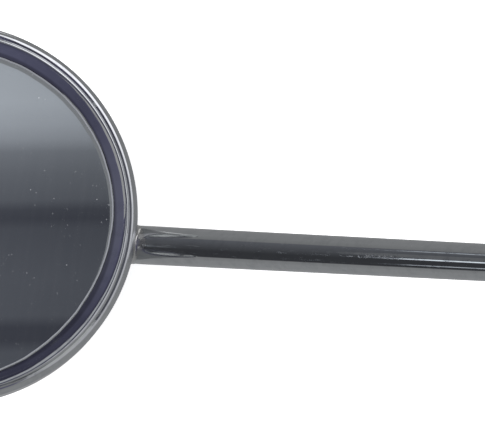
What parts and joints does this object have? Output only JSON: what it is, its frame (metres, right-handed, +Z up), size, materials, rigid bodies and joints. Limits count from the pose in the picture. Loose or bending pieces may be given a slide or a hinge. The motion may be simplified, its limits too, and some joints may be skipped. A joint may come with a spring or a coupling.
{
  "type": "dental mouth mirror",
  "caption": "Hand mouth mirror: a round glass mirror in a polished steel cup, set at an angle on a slender stem that screws into a grooved octagonal steel handle.",
  "frame": {"origin": "on the flat of the handle that the instrument lies on, at the middle of its length and width", "axes": "+X along the stem and handle from the mirror to the tail, +Y across the mirror, +Z up from the surface it lies on"},
  "size_m": [0.1724, 0.022, 0.0198],
  "materials": {
    "polished_steel": "mirror polished",
    "turned_steel": "fine turned, polished",
    "handle_steel": "satin polished",
    "bush_steel": "machined",
    "braze_metal": "polished silver braze",
    "clear_glass": "polished",
    "silver_film": "mirror",
    "back_lacquer": "gloss",
    "fibre_disc": "matt",
    "seal_resin": "gloss"
  },
  "bodies": {
    "handle": {"handle_tube": "handle_steel", "handle_nose": "turned_steel", "thread_bush": "bush_steel", "tail_cap": "turned_steel"},
    "collar": {"stem_collar": "turned_steel"},
    "mirror": {"stem": "polished_steel", "braze_joint": "braze_metal", "head_cup": "polished_steel", "bezel_ring": "polished_steel", "mirror_glass": "clear_glass", "silver_coating": "silver_film", "protective_lacquer": "back_lacquer", "backing_disc": "fibre_disc", "edge_seal": "seal_resin"}
  },
  "joints": [
    {"name": "unscrew_travel", "type": "slide", "parent": "handle", "child": "collar", "axis": [-1, 0, 0], "range_m": [0, 0.0054]},
    {"name": "unscrew_turn", "type": "hinge", "parent": "collar", "child": "mirror", "pos_m": [-0.035, 0, 0.003], "axis": [-1, 0, 0], "range_deg": [0, 4320]}
  ],
  "couplings": [
    {"joint": "unscrew_travel", "follows": "unscrew_turn", "m_per_rad": 0.00007162}
  ]
}
